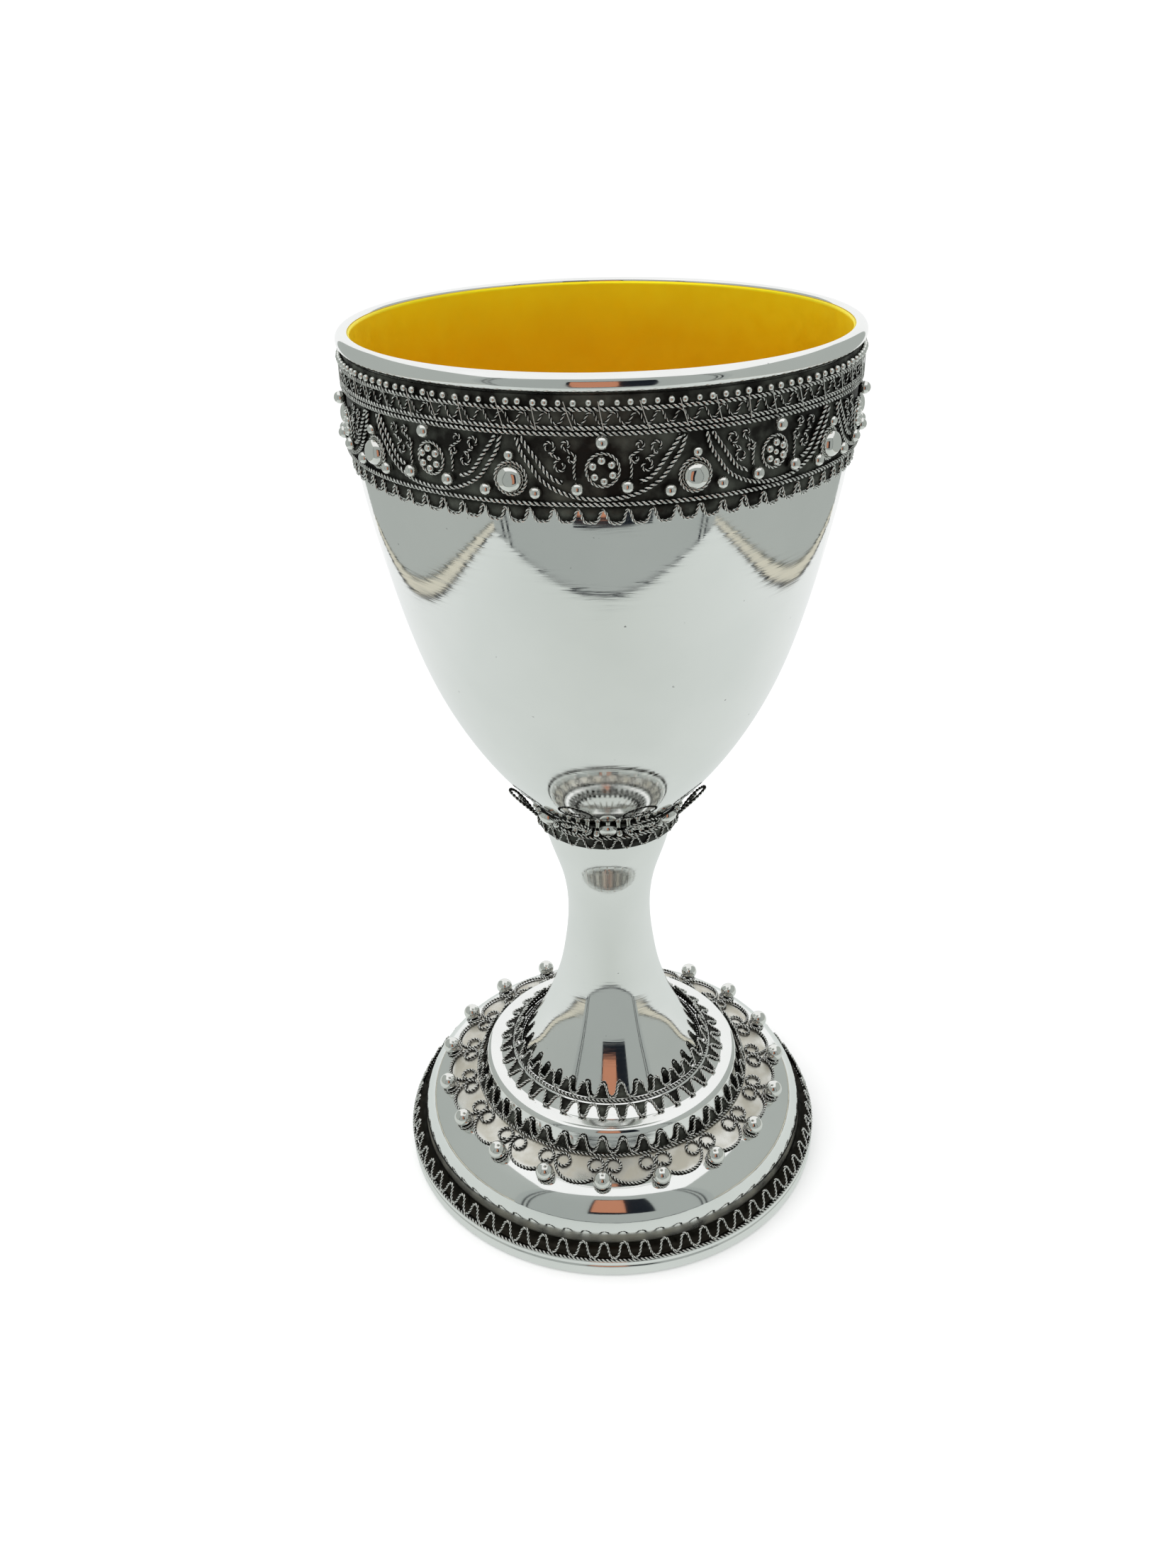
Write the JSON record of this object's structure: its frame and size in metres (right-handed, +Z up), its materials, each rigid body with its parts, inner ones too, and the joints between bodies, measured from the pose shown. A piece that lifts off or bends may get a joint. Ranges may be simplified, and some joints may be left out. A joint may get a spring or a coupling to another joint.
{
  "type": "communion chalice",
  "caption": "Footed silver chalice with a gilt egg-shaped bowl, slender waisted stem, stepped domed foot and applied twisted-wire filigree bands.",
  "frame": {"origin": "centre of the foot's resting face, on the object's axis", "axes": "+Z up along the axis of revolution; -Y is the side facing the viewer, with a rosette of the band and a button of the calyx on it"},
  "size_m": [0.0788, 0.0788, 0.153],
  "materials": {
    "polished_silver": "mirror-polished silver with fine rubbing marks",
    "gilding": "satin gilding, slightly mottled",
    "oxidised_silver": "dark oxidised silver behind the wirework",
    "filigree_silver": "twisted wire, rubbed bright on top and dark in the twists",
    "bright_granules": "bright silver balls and bosses, tarnished at their feet",
    "hidden_brass": "plain turned"
  },
  "bodies": {
    "root": {"ball_collars": "filigree_silver", "band_fringe": "filigree_silver", "band_plate": "oxidised_silver", "band_rope_bottom": "filigree_silver", "band_rope_lower": "filigree_silver", "band_rope_top": "filigree_silver", "band_rope_upper": "filigree_silver", "band_top_granules": "bright_granules", "band_wave": "filigree_silver", "base_ring": "polished_silver", "boss_collars": "filigree_silver", "boss_domes": "bright_granules", "boss_granules": "bright_granules", "bowl": "polished_silver", "calyx_buttons": "bright_granules", "calyx_collar": "oxidised_silver", "calyx_curls": "filigree_silver", "calyx_gallery": "filigree_silver", "calyx_granules": "bright_granules", "calyx_petals": "filigree_silver", "calyx_rope": "filigree_silver", "edge_gallery": "filigree_silver", "edge_rope": "filigree_silver", "foot_balls": "bright_granules", "foot_dome": "polished_silver", "foot_scrolls": "filigree_silver", "foot_step": "polished_silver", "gilt_lining": "gilding", "lip_ring": "polished_silver", "rosette_granules": "bright_granules", "rosette_rings": "filigree_silver", "stem": "polished_silver", "stem_gallery_lower": "filigree_silver", "stem_gallery_upper": "filigree_silver", "stem_rope": "filigree_silver", "step_gallery": "filigree_silver", "step_rope": "filigree_silver", "swag_granules": "bright_granules", "swag_inner_ropes": "filigree_silver", "swag_outer_ropes": "filigree_silver", "swag_scrolls": "filigree_silver", "tie_nut": "hidden_brass", "tie_rod": "hidden_brass", "tie_washer": "hidden_brass"}
  },
  "joints": []
}
